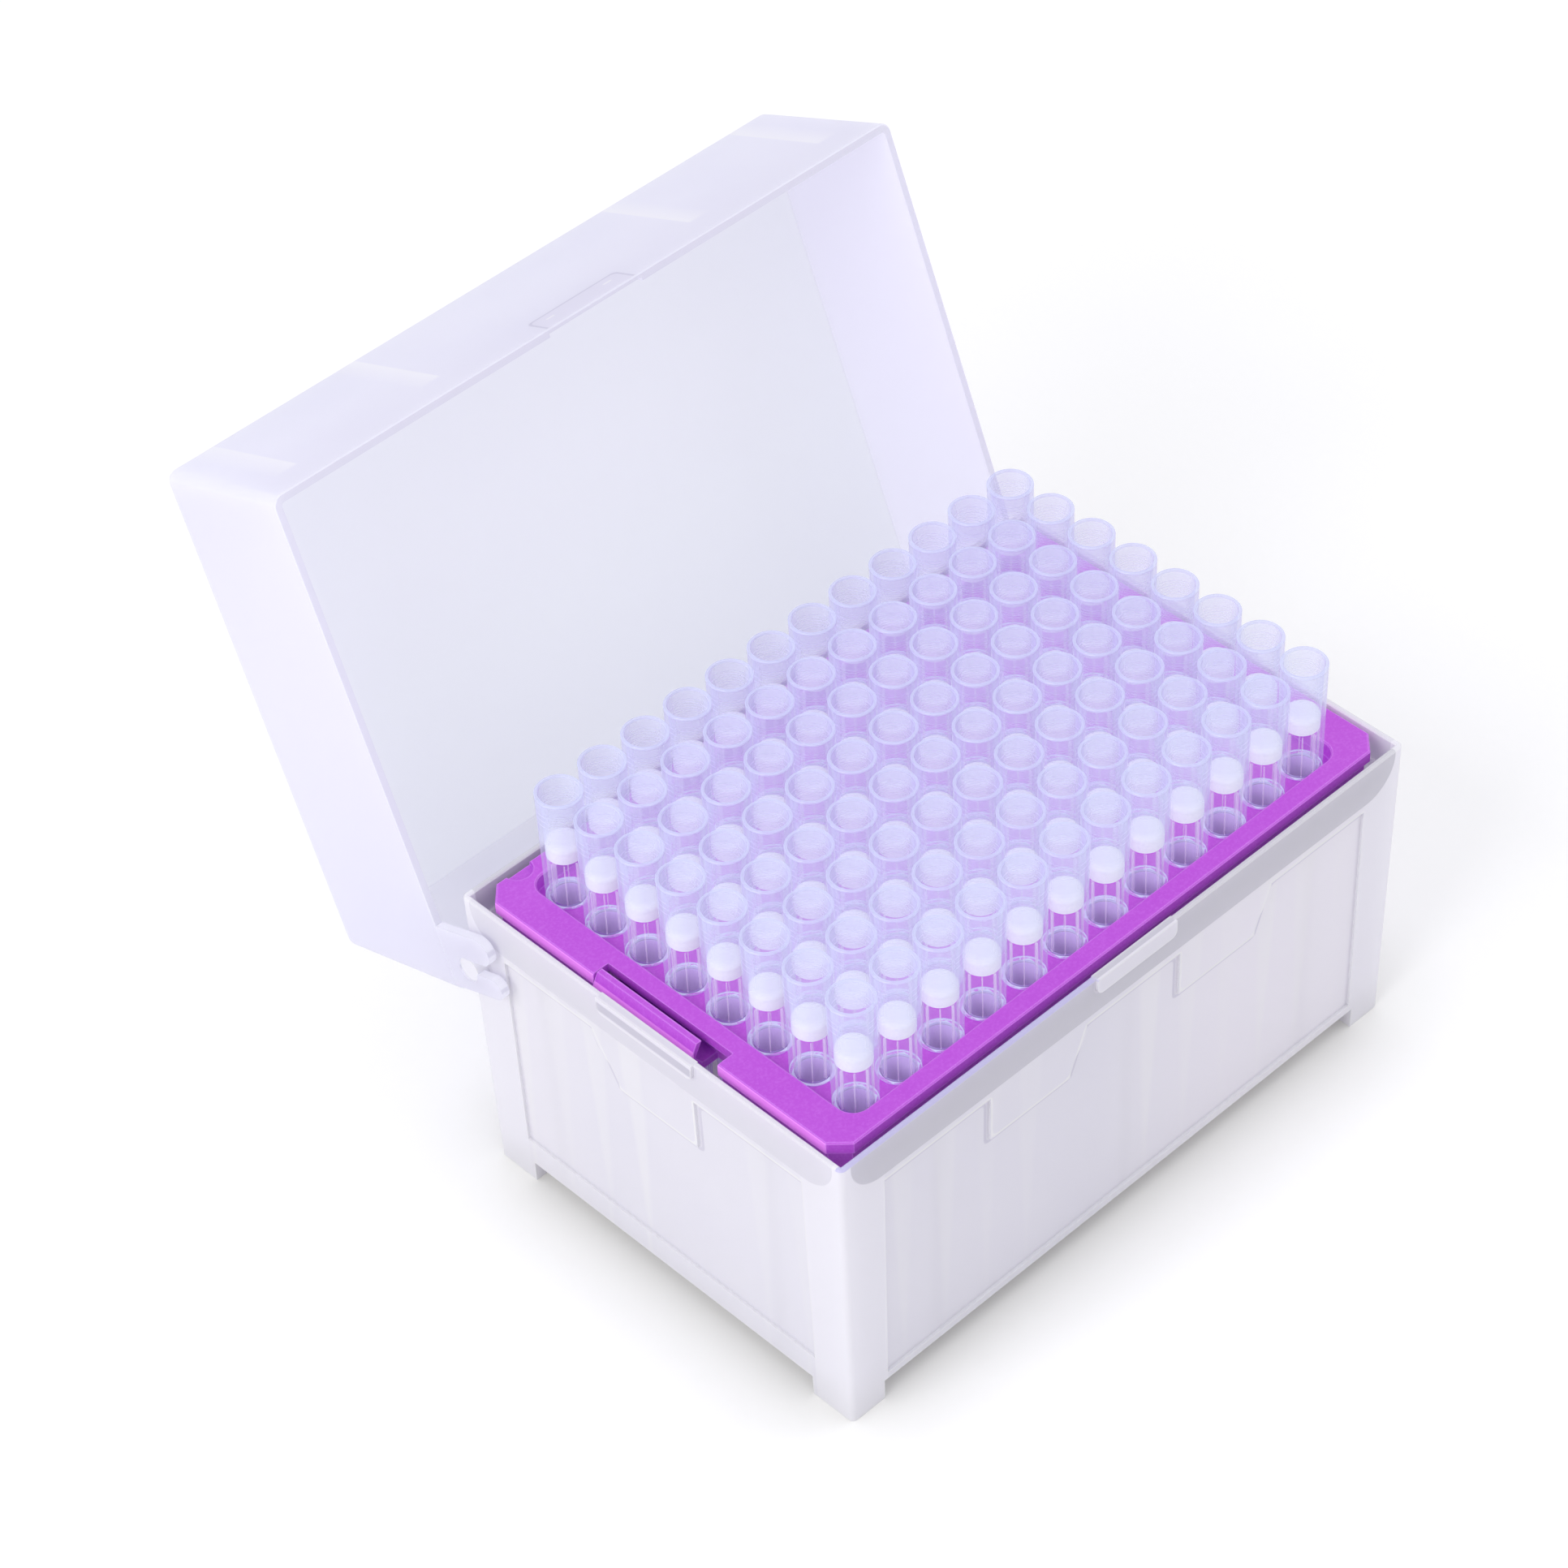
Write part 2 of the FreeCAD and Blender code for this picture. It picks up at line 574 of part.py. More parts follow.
def make_lid():
    """The lid, drawn closed about the hinge line, then turned open about it."""
    body = new_body("lid")
    rise, top = "lid_rim_rise", value(f"lid_rim_rise + {LID_DEPTH}")
    outside = new_sketch(body, "XY_Plane", rise)
    centred(outside, LID_LENGTH, LID_WIDTH, LID_MIDDLE)
    extrude(body, "Pad", outside, LID_DEPTH)
    draft(body, LID_LEAN, rise, adds=False)
    inside = new_sketch(body, "XY_Plane", rise)
    centred(inside, f"{LID_LENGTH} - 2 * lid_wall", f"{LID_WIDTH} - 2 * lid_wall", LID_MIDDLE)
    extrude(body, "Pocket", inside, f"{LID_DEPTH} - lid_wall", back=True)
    draft(body, LID_LEAN, rise, adds=True, back=True)
    dress(body, "Fillet", "lid_corner", lambda e: upright(e, value(rise), top) or level(e, top))
    ceiling = value(f"lid_rim_rise + {LID_DEPTH} - lid_wall")
    dress(body, "Fillet", "lid_corner - lid_wall", lambda e: upright(e, value(rise), ceiling))

    def outer_rim(edge):
        centre = edge.BoundBox.Center
        past_x = abs(centre.x) > value(f"{LID_LENGTH} / 2 - lid_wall / 2")
        past_y = abs(centre.y - value(LID_MIDDLE)) > value(f"{LID_WIDTH} / 2 - lid_wall / 2")
        return (past_x or past_y) and level(edge, value(rise))

    dress(body, "Chamfer", "lid_bevel", outer_rim)

    # each end has a plate with two prongs, which snap over the pin between them
    plate = new_sketch(body, "YZ_Plane", f"{LID_LENGTH} / 2 - hook_set_in")
    bore = "(pin_radius + pin_clearance)"
    front_round = "(hook_front - mouth_front) / 2 - hook_drop"
    hook_back = f"{LID_BACK} - hook_from_back"
    back_round = f"({hook_back} - mouth_back) / 2 - hook_drop"
    draw(
        plate,
        [
            ("-hook_front", "lid_rim_rise + hook_root"),
            ("-hook_front", front_round, "left", front_round),
            ("-mouth_front", front_round),
            ("-mouth_front", f"-sqrt({bore}^2 - mouth_front^2)", "right", "0"),
            ("mouth_back", f"-sqrt({bore}^2 - mouth_back^2)"),
            ("mouth_back", back_round, "left", back_round),
            (hook_back, back_round),
            (hook_back, "lid_rim_rise + hook_root"),
        ],
    )
    pad = extrude(body, "Pad", plate, "hook_thickness", back=True)
    repeat(body, "Mirrored", [pad], MirrorPlane=plane_of(body, "YZ_Plane"))

    # a pocket inside the front wall takes the catch bar
    face = f"{LID_WIDTH} / 2 - {LID_MIDDLE}"
    catch = new_sketch(body, "XZ_Plane", f"{face} - 2 * lid_wall")
    half = "(bar_length / 2 + catch_clearance)"
    low = f"{rise} - catch_clearance"
    high = f"{RIM} - {HINGE_HEIGHT} + catch_clearance"
    rectangle(catch, f"bar_shift - {half}", f"bar_shift + {half}", low, high)
    extrude(body, "Pocket", catch, "lid_wall + catch_depth", back=True)

    body.Placement = Placement(Vector(0, 0, 0), Rotation(Vector(1, 0, 0), -1))
    body.setExpression("Placement.Base.y", bound(HINGE_BACK))
    body.setExpression("Placement.Base.z", bound(HINGE_HEIGHT))
    body.setExpression("Placement.Rotation.Angle", bound(f"-{OPEN_ANGLE}"))
    return body


def narrowing(change, length, flats):
    """The lean that brings a polygon's flats in by the change of radius over the length."""
    return f"atan(({change}) * {flat_share(flats)} / ({length}))"


def make_tip():
    """One tip: a flared head with a bored mouth on a long tapering shank."""
    body = new_body("tip")
    flats = int(value("head_flats"))
    head = new_sketch(body, "XY_Plane", TIP_TOP)
    polygon(head, TIP_RIM, flats)
    lean = narrowing("head_flare", "tip_head_height", flats)
    extrude(body, "Pad", head, "tip_head_height", back=True)
    draft(body, lean, TIP_TOP, adds=False, back=True)
    shank = new_sketch(body, "XY_Plane", PLATE_TOP)
    edges = int(value("shank_flats"))
    polygon(shank, TIP_SHANK, edges)
    lean = narrowing(f"{TIP_SHANK} - tip_end_radius", "tip_shank_length", edges)
    extrude(body, "Pad", shank, "tip_shank_length", back=True)
    draft(body, lean, PLATE_TOP, adds=False, back=True)
    mouth = new_sketch(body, "XY_Plane", TIP_TOP)
    polygon(mouth, MOUTH, flats)
    lean = narrowing("seat_narrowing", "seat_depth", flats)
    extrude(body, "Pocket", mouth, "seat_depth")
    draft(body, lean, TIP_TOP, adds=True)
    return body


def make_filter():
    """One filter plug, pressed down to the foot of the tip's mouth."""
    body = new_body("filter")
    plug = new_sketch(body, "XY_Plane", f"{TIP_TOP} - seat_depth")
    polygon(plug, f"{TIP_SEAT} - filter_clearance", int(value("head_flats")))
    extrude(body, "Pad", plug, "filter_height")
    return body


def make_column(label, piece, number):
    """One column of the grid: the piece at every row, moved along X as one node."""
    rows = int(value("rows"))
    column = doc.addObject("Part::Feature", label)
    column.Label = label
    places = [Vector(0, (row - (rows - 1) / 2) * value("pitch"), 0) for row in range(rows)]
    column.Shape = Part.makeCompound([piece.Shape.translated(place) for place in places])
    column.Placement = Placement()
    column.setExpression("Placement.Base.x", bound(f"({number} - (columns - 1) / 2) * pitch"))
    return column


pieces = [make_base(), make_rack(), make_lid()]
tip = make_tip()
plug = make_filter()
for number in range(int(value("columns"))):
    pieces.append(make_column(f"tips_column_{number + 1:02d}", tip, number))
    pieces.append(make_column(f"filters_column_{number + 1:02d}", plug, number))
doc.recompute()

failed = [o.Label for o in doc.Objects if {"Invalid", "Error"} & set(o.State)]
failed += [p.Label for p in pieces if p.Shape.isNull() or not p.Shape.isValid()]
if failed:
    raise ValueError(f"these did not build: {failed}")

os.makedirs("parts", exist_ok=True)
for piece in pieces:
    piece.Shape.exportStep(f"parts/{piece.Label}.step")
    print(piece.Label, len(piece.Shape.Solids), round(piece.Shape.Volume, 1))
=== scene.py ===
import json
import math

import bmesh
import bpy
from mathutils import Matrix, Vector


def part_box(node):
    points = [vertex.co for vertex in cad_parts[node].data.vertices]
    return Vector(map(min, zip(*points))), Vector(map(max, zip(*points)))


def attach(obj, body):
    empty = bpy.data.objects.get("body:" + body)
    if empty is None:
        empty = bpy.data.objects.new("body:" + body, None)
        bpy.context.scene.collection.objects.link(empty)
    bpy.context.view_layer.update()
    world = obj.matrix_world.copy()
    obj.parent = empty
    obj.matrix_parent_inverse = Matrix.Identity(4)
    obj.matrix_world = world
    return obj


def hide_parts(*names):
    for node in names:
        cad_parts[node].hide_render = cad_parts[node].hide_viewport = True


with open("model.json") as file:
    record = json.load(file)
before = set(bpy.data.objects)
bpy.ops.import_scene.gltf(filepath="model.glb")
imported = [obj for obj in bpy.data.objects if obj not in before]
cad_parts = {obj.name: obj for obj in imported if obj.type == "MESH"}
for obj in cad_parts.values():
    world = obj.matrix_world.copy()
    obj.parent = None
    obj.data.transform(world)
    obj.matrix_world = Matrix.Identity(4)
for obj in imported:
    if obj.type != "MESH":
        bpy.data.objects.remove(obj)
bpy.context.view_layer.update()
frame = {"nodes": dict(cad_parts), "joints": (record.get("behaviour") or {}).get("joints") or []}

# %% [markdown]
# # A box of filter pipette tips
#
# The real object is an open box of moulded polypropylene. A frosted base carries a purple
# rack, 96 clear tips with white filters stand in the rack, and a frosted lid leans open
# behind them on two side pins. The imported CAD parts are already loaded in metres. This
# lesson gives them their finishes, and turns new round tips and filters for the plain
# ones, because the eye rests on those first. The main levels are taken from the CAD
# parts' boxes, and the finer marks are given in millimetres from them.

MM = 0.001
base_low, base_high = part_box("base_box")
rack_low, rack_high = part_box("tip_rack")
tips_low, tips_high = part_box("tips_column_01")

# %% [markdown]
# ## Colours and nodes
#
# Colours are chosen as sRGB hex values, the way a swatch book gives them, and Blender
# calculates with linear light, so one function turns the first into the second. The other
# helper adds a node with its settings and links in one line, which keeps a material
# readable from top to bottom.


# %% Colour helper
def linear(swatch):
    """The linear RGBA of an sRGB hex swatch."""
    channels = [int(swatch[i : i + 2], 16) / 255 for i in (1, 3, 5)]
    return [c / 12.92 if c <= 0.04045 else ((c + 0.055) / 1.055) ** 2.4 for c in channels] + [1.0]


WHITE = linear("#FFFFFF")
print("paper white in linear light:", [round(c, 3) for c in linear("#F5F5FA")[:3]])


# %% Node helpers
def add(tree, kind, settings=None, **links):
    """A new node. Settings are its properties or sockets' values; links name what feeds it."""
    new = tree.nodes.new(kind)
    for name, setting in (settings or {}).items():
        if isinstance(name, int) or name in new.inputs:
            new.inputs[name].default_value = setting
        else:
            setattr(new, name, setting)
    for name, source in links.items():
        place = int(name[1:]) if name[1:].isdigit() else name.replace("_", " ")
        tree.links.new(source, new.inputs[place])
    return new


def new_material(name):
    """An empty node material, and its tree."""
    material = bpy.data.materials.new(name)
    material.use_nodes = True
    material.node_tree.nodes.clear()
    return material, material.node_tree


print("a link named i0 goes to input 0, and one named Base_Color to the input Base Color")

# %% [markdown]
# ## The camera
#
# The box is seen from above its front left corner. A long lens flattens the perspective,
# so that the rows of tips stay nearly parallel. The camera's axes are worked out from its
# azimuth, elevation and roll, because three plain angles are easier to change than a
# rotation matrix.

# %% Camera
AZIMUTH, ELEVATION, ROLL = (math.radians(angle) for angle in (-42.09, 43.47, -3.18))
FOCAL_LENGTH, SENSOR = 111.04, 36.0
back = Vector(
    (
        math.sin(AZIMUTH) * math.cos(ELEVATION),
        -math.cos(AZIMUTH) * math.cos(ELEVATION),
        math.sin(ELEVATION),
    )
)
level_right = Vector((math.cos(AZIMUTH), math.sin(AZIMUTH), 0))
level_up = back.cross(level_right)
right = math.cos(ROLL) * level_right + math.sin(ROLL) * level_up
up = -math.sin(ROLL) * level_right + math.cos(ROLL) * level_up

lens = bpy.data.cameras.new("long_lens")
lens.lens = FOCAL_LENGTH
lens.sensor_width = SENSOR
camera = bpy.data.objects.new("camera", lens)
axes = Matrix((right, up, back)).transposed().to_4x4()
camera.matrix_world = Matrix.Translation((-0.38165, -0.38730, 0.58350)) @ axes
bpy.context.scene.collection.objects.link(camera)
bpy.context.scene.camera = camera
print("camera at", [round(c, 3) for c in camera.location])

# %% [markdown]
# ## White surroundings
#
# A studio lights such pale, see-through plastic from all round with large soft sources.
# One bright sky stands for most of them. What the camera, a reflection or a clear wall
# sees of it is pure white, and the light that it gives is a little less, so that the
# colours come out as they are written.

# %% Sky
LIGHT_LEVEL = 0.85
world = bpy.data.worlds.new("white_studio")
bpy.context.scene.world = world
world.use_nodes = True
sky = world.node_tree
sky.nodes.clear()
path = add(sky, "ShaderNodeLightPath")
glossy_or_clear = add(
    sky, "ShaderNodeMath", {"operation": "MAXIMUM"}, i0=path.outputs["Is Glossy Ray"],
    i1=path.outputs["Is Transmission Ray"],
)
seen = add(
    sky, "ShaderNodeMath", {"operation": "MAXIMUM"}, i0=path.outputs["Is Camera Ray"],
    i1=glossy_or_clear.outputs[0],
)
glow = add(sky, "ShaderNodeBackground", {"Color": linear("#F7F7FB"), "Strength": LIGHT_LEVEL})
white = add(sky, "ShaderNodeBackground", {"Color": WHITE, "Strength": 1.0})
both = add(
    sky, "ShaderNodeMixShader", i0=seen.outputs[0], i1=glow.outputs[0], i2=white.outputs[0]
)
add(sky, "ShaderNodeOutputWorld", Surface=both.outputs[0])
print("sky light level:", LIGHT_LEVEL)

# %% [markdown]
# ## The floor
#
# The box stands on a sheet of uncoated paper, which scatters light evenly. The camera
# sees a little glow added to the lit paper, which brings it to white and leaves the soft
# shadow. Close to the box an occlusion node deepens that shade, as the paper there sees
# little of the room.

# %% White paper
CAMERA_GLOW = 0.10
SHADE_REACH = 20 * MM
FIBRES_PER_METRE = 900.0
paper, tree = new_material("white_paper")
place = add(tree, "ShaderNodeTexCoord")
fibres = add(
    tree, "ShaderNodeTexNoise", {"Scale": FIBRES_PER_METRE, "Detail": 2.0},
    Vector=place.outputs["Object"],
)
tint = add(
    tree, "ShaderNodeMix", {"data_type": "RGBA", 6: linear("#F7F7F6"), 7: linear("#FBFBFA")},
    Factor=fibres.outputs["Fac"],
)
open_air = add(tree, "ShaderNodeAmbientOcclusion", {"samples": 1, "Distance": SHADE_REACH})
shaded = add(
    tree, "ShaderNodeMix", {"data_type": "RGBA", 6: linear("#C8C7C1")}, i7=tint.outputs[2],
    Factor=open_air.outputs["AO"],
)
matt = add(tree, "ShaderNodeBsdfDiffuse", Color=shaded.outputs[2])
path = add(tree, "ShaderNodeLightPath")
dim = add(
    tree, "ShaderNodeMath", {"operation": "MULTIPLY", 1: CAMERA_GLOW},
    i0=path.outputs["Is Camera Ray"],
)
lift = add(tree, "ShaderNodeEmission", {"Color": WHITE}, Strength=dim.outputs[0])
lit = add(tree, "ShaderNodeAddShader", i0=matt.outputs[0], i1=lift.outputs[0])
add(tree, "ShaderNodeOutputMaterial", Surface=lit.outputs[0])
print("the shade reaches", SHADE_REACH / MM, "mm from the box")

# %% Floor sheet
HALF_SHEET = 3.0
sheet = bmesh.new()
bmesh.ops.create_grid(sheet, x_segments=1, y_segments=1, size=HALF_SHEET)
floor_mesh = bpy.data.meshes.new("floor")
sheet.to_mesh(floor_mesh)
sheet.free()
floor = bpy.data.objects.new("floor", floor_mesh)
floor.data.materials.append(paper)
bpy.context.scene.collection.objects.link(floor)
print("floor", 2 * HALF_SHEET, "m across")

# %% [markdown]
# ## Two lamps
#
# Sky alone would leave every edge alike. A large square lamp above the left shoulder
# shapes the edges, and a weaker one on the right fills the long wall.


# %% Lamps
def soft_lamp(name, place, size, watts, swatch):
    """A square lamp that faces the middle of the box."""
    lamp = bpy.data.lights.new(name, "AREA")
    lamp.size = size
    lamp.energy = watts
    lamp.color = linear(swatch)[:3]
    holder = bpy.data.objects.new(name, lamp)
    aim = (Vector(place) - Vector((0, 0, 0.05))).to_track_quat("Z", "Y")
    holder.matrix_world = Matrix.Translation(place) @ aim.to_matrix().to_4x4()
    bpy.context.scene.collection.objects.link(holder)


soft_lamp("key_light", (-0.95, -0.05, 0.75), 0.7, 4.9, "#FFFFFF")
soft_lamp("fill_light", (0.95, -0.45, 0.6), 0.8, 2.3, "#F8F8FF")

# %% [markdown]
# ## One pipette tip
#
# A filter tip is turned about its own axis: a wide collar with a bored mouth, and a long
# shank. It could be a stack of cones joined by booleans, but one closed outline spun
# round the axis gives the wall its true thickness with no seams. The collar's foot has
# thin upright fins inside, which catch the light as pairs of lines.

# %% The tip's outline, as radius and height from the rim in mm
RIM_LEVEL = tips_high.z / MM
TIP_LENGTH = (tips_high.z - tips_low.z) / MM
outside = [
    (3.74, 0.0), (3.85, -0.14), (3.83, -1.6), (3.70, -12.0), (3.60, -21.4), (3.57, -21.9),
    (3.44, -22.0), (2.90, -22.0), (2.62, -29.0), (1.65, -50.0), (0.62, -TIP_LENGTH),
]
inside = [
    (0.34, -TIP_LENGTH), (1.20, -50.0), (2.10, -29.0), (2.55, -22.4), (2.72, -22.0),
    (2.86, -13.4), (2.98, -13.2), (3.04, -6.0), (3.20, -2.4), (3.22, -0.5), (3.34, 0.0),
]
print("tip length in mm:", round(TIP_LENGTH, 2), "outline points:", len(outside) + len(inside))


# %% Turning helper
STEPS = 32


def turned(shape, outline, closed):
    """Spins an outline of (radius, height) in mm about the Z axis, into the bmesh."""
    spots = [shape.verts.new((r * MM, 0, z * MM)) for r, z in outline]
    pairs = zip(spots, spots[1:] + spots[:1] if closed else spots[1:])
    edges = [shape.edges.new(pair) for pair in pairs]
    bmesh.ops.spin(
        shape, geom=spots + edges, cent=(0, 0, 0), axis=(0, 0, 1), angle=math.tau, steps=STEPS,
        use_merge=True, use_duplicate=False,
    )
    bmesh.ops.remove_doubles(shape, verts=shape.verts, dist=1e-7)
    bmesh.ops.recalc_face_normals(shape, faces=shape.faces)


print("a full turn takes", STEPS, "steps")

# %% One tip
FINS = 8
FIN_LOW, FIN_HIGH = Vector((2.50, -0.10, -21.8)) * MM, Vector((2.92, 0.10, -13.6)) * MM
tip = bmesh.new()
turned(tip, outside + inside, closed=True)
for number in range(FINS):
    fin = bmesh.ops.create_cube(tip, size=1.0)["verts"]
    bmesh.ops.scale(tip, vec=FIN_HIGH - FIN_LOW, verts=fin)
    bmesh.ops.translate(tip, vec=(FIN_HIGH + FIN_LOW) / 2, verts=fin)
    turn = Matrix.Rotation(number * math.tau / FINS, 3, "Z")
    bmesh.ops.rotate(tip, verts=fin, cent=(0, 0, 0), matrix=turn)
    for face in {face for spot in fin for face in spot.link_faces}:
        face.material_index = 1
print("faces in one tip:", len(tip.faces))

# %% [markdown]
# ## One filter plug
#
# The filter is a short plug of sintered polyethylene, pressed down to the foot of the
# mouth. Its upper edge is well rounded and its lower edge is only softened, so its half
# outline is an arc, a straight side and a small bevel, open at the axis, and it is spun
# in the same way.

# %% One plug, in mm
PLUG_RADIUS, PLUG_TOP, PLUG_FOOT = 2.93, -9.9, -13.15
PLUG_ROUND, PLUG_BEVEL, ARC_STEPS = 1.05, 0.2, 5
arc = [step / ARC_STEPS * math.pi / 2 for step in range(ARC_STEPS + 1)]
crown = [
    (PLUG_RADIUS - PLUG_ROUND * (1 - math.sin(a)), PLUG_TOP - PLUG_ROUND * (1 - math.cos(a)))
    for a in arc
]
side = [(PLUG_RADIUS, PLUG_FOOT + PLUG_BEVEL), (PLUG_RADIUS - PLUG_BEVEL, PLUG_FOOT)]
plug = bmesh.new()
turned(plug, [(0.0, PLUG_TOP)] + crown + side + [(0.0, PLUG_FOOT)], closed=False)
print("faces in one plug:", len(plug.faces))

# %% [markdown]
# ## Twelve columns of eight
#
# The rack holds the tips on a 9 mm grid. Each column becomes one object, as it is one part
# of the CAD model. The eight tips are copies of the one turned mesh, moved to their places
# before it is written, so that the object itself stays at the origin.

# %% Column helper
PITCH = 9.0
ROWS, COLUMNS = 8, 12


def column_of(source, name, number, stands_for):
    """One object with eight copies of the shape, in place of the CAD node."""
    x = (number - (COLUMNS - 1) / 2) * PITCH
    whole = bmesh.new()
    one = bpy.data.meshes.new("one")
    source.to_mesh(one)
    for row in range(ROWS):
        y = (row - (ROWS - 1) / 2) * PITCH
        known = len(whole.verts)
        whole.from_mesh(one)
        whole.verts.ensure_lookup_table()
        copied = whole.verts[known:]
        bmesh.ops.translate(whole, vec=Vector((x, y, RIM_LEVEL)) * MM, verts=copied)
    mesh = bpy.data.meshes.new(name)
    whole.to_mesh(mesh)
    whole.free()
    bpy.data.meshes.remove(one)
    mesh.polygons.foreach_set("use_smooth", [True] * len(mesh.polygons))
    mesh.set_sharp_from_angle(angle=math.radians(30))
    piece = bpy.data.objects.new(name, mesh)
    bpy.context.scene.collection.objects.link(piece)
    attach(piece, "base")
    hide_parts(stands_for)
    # Clear walls throw no shadow worth having, and light passes between a filter's grains.
    piece.visible_shadow = False
    piece.visible_diffuse = False
    return piece


print("grid of", COLUMNS, "by", ROWS, "at", PITCH, "mm")

# %% Fill the grid
tips, plugs = [], []
for number in range(COLUMNS):
    label = f"column_{number + 1:02d}"
    tips.append(column_of(tip, f"turned_tips_{label}", number, f"tips_{label}"))
    plugs.append(
        column_of(plug, f"filter_plugs_{label}", number, f"filters_{label}")
    )
tip.free()
plug.free()
print("tips:", len(tips) * ROWS, "faces in a column:", len(tips[0].data.polygons))

# %% [markdown]
# ## Masks and paint
#
# Every finish here is laid on in the same way: a base colour, then paler or deeper paint
# where a mask is 1. Most masks are a stretch between two levels along one direction, with
# soft ends, so one function makes that. Moulded edges get a mask of their own: the Bevel
# node rounds the normal near an edge, and where it leaves the flat normal there is an edge.

# %% Levels and paint
FAR = 300.0


def between(tree, number, low, high, soft, amount=1.0):
    """The amount where the number lies between two levels in mm, and 0 outside them."""
    middle, half = (low + high) / 2 * MM, (high - low) / 2 * MM
    away = add(tree, "ShaderNodeMath", {"operation": "SUBTRACT", 1: middle}, i0=number)
    reach = add(tree, "ShaderNodeMath", {"operation": "ABSOLUTE"}, i0=away.outputs[0])
    return add(
        tree, "ShaderNodeMapRange",
        {"From Min": half - soft * MM, "From Max": half + soft * MM, "To Min": amount,
         "To Max": 0.0},
        Value=reach.outputs[0],
    ).outputs[0]


def painted(tree, colour, swatch, *masks):
    """The colour with the swatch laid over it where every mask is 1."""
    where = masks[0]
    for mask in masks[1:]:
        both = add(tree, "ShaderNodeMath", {"operation": "MULTIPLY"}, i0=where, i1=mask)
        where = both.outputs[0]
    settings = {"data_type": "RGBA", 7: linear(swatch)}
    return add(tree, "ShaderNodeMix", settings, i6=colour, Factor=where).outputs[2]


print("levels are open-ended at", FAR, "mm")


# %% Edges
def edges_of(tree, width):
    """A mask of the moulding's edges, where the skin is rounder and catches the light."""
    soft = add(tree, "ShaderNodeBevel", {"samples": 2, "Radius": width * MM})
    flat = add(tree, "ShaderNodeNewGeometry")
    turn = add(
        tree, "ShaderNodeVectorMath", {"operation": "DOT_PRODUCT"}, i0=soft.outputs[0],
        i1=flat.outputs["Normal"],
    )
    return add(
        tree, "ShaderNodeMapRange", {"From Min": 0.998, "From Max": 0.88},
        Value=turn.outputs["Value"],
    ).outputs[0]


def finish(node_name, material):
    """Puts the material in every slot of a CAD node."""
    piece = frame["nodes"][node_name]
    for slot in piece.material_slots:
        slot.material = material
    print(node_name, "is now", material.name)


print("edge masks are 0.35 to 0.7 mm wide, like small moulded radii")

# %% [markdown]
# ## Clear polypropylene for the tips
#
# The tips are thin, natural polypropylene from a polished mould: nearly clear with a cool
# lavender cast, brightest where the eye looks along the wall. Full glass would bend light
# through hundreds of walls and lose it. Thin clear plastic hardly bends what is behind it,
# so the shader lets light straight through, and grows denser towards the edges and in the
# cloudier stretches: the collar above the filter, and the shank below the rack.


# %% Clear plastic
def see_through(name, haze, edge_haze):
    """Thin clear plastic: its material, its tree, and the haze that it starts from."""
    material, tree = new_material(name)
    edge = add(tree, "ShaderNodeLayerWeight", {"Blend": 0.32})
    grazing = add(
        tree, "ShaderNodeMapRange",
        {"From Min": 0.25, "From Max": 0.95, "To Min": haze, "To Max": haze + edge_haze},
        Value=edge.outputs["Facing"],
    )
    return material, tree, grazing.outputs[0]


def clear_skin(tree, haze, **colour):
    """The plastic's polished skin, as dense as the haze."""
    dense = add(tree, "ShaderNodeMath", {"operation": "MINIMUM", 1: 1.0}, i0=haze)
    skin = add(
        tree, "ShaderNodeBsdfPrincipled", {"Roughness": 0.12, "IOR": 1.49},
        Alpha=dense.outputs[0], **colour,
    )
    add(tree, "ShaderNodeOutputMaterial", Surface=skin.outputs[0])
    return skin


print("clear skin: roughness 0.12, IOR 1.49, as polished polypropylene")

# %% Haze along a tip: low and high level from the rim, haze and softness, in mm
CLOUDY_ZONES = [
    (-9.6, 2.0, 0.24, 1.2),        # the collar above the filter
    (-0.32, 0.2, 0.30, 0.05),      # the rim
    (-22.12, -21.78, 0.95, 0.03),  # the ring round the foot
    (-28.0, -22.2, 0.20, 0.1),     # the root of the shank
    (-90.0, -22.2, 0.72, 0.05),    # the whole shank
]
MOUTH_RINGS, RING_HAZE = (-2.6, -3.7, -4.8), 0.14
zones = CLOUDY_ZONES + [
    (level - 0.10, level + 0.06, RING_HAZE, 0.04) for level in MOUTH_RINGS
]
clear, tree, haze = see_through("clear_polypropylene", 0.03, 0.50)
place = add(tree, "ShaderNodeTexCoord")
height = add(tree, "ShaderNodeSeparateXYZ", Vector=place.outputs["Object"]).outputs["Z"]
for low, high, amount, soft in zones:
    more = between(tree, height, RIM_LEVEL + low, RIM_LEVEL + high, soft, amount)
    haze = add(tree, "ShaderNodeMath", {"operation": "ADD"}, i0=haze, i1=more).outputs[0]
print("haze zones along a tip:", len(zones))

# %% Tints of the tips
# Below the rack the shank is painted purple, as painted light that the purple rack around it
# tints.
purple_light_below_rack = add(
    tree, "ShaderNodeMapRange",
    {"From Min": (RIM_LEVEL - 22.1) * MM, "From Max": (RIM_LEVEL - 22.4) * MM}, Value=height,
)
tint = add(
    tree, "ShaderNodeMix", {"data_type": "RGBA", 6: linear("#D3D8FA"), 7: linear("#DCC6FF")},
    Factor=purple_light_below_rack.outputs[0],
)
clear_skin(tree, haze, Base_Color=tint.outputs[2])

fin_plastic, tree, haze = see_through("clear_polypropylene_fins", 0.25, 0.30)
clear_skin(tree, haze).inputs["Base Color"].default_value = linear("#F1EEFF")
for piece in tips:
    piece.data.materials.append(clear)
    piece.data.materials.append(fin_plastic)
print("tips finished:", len(tips) * ROWS)
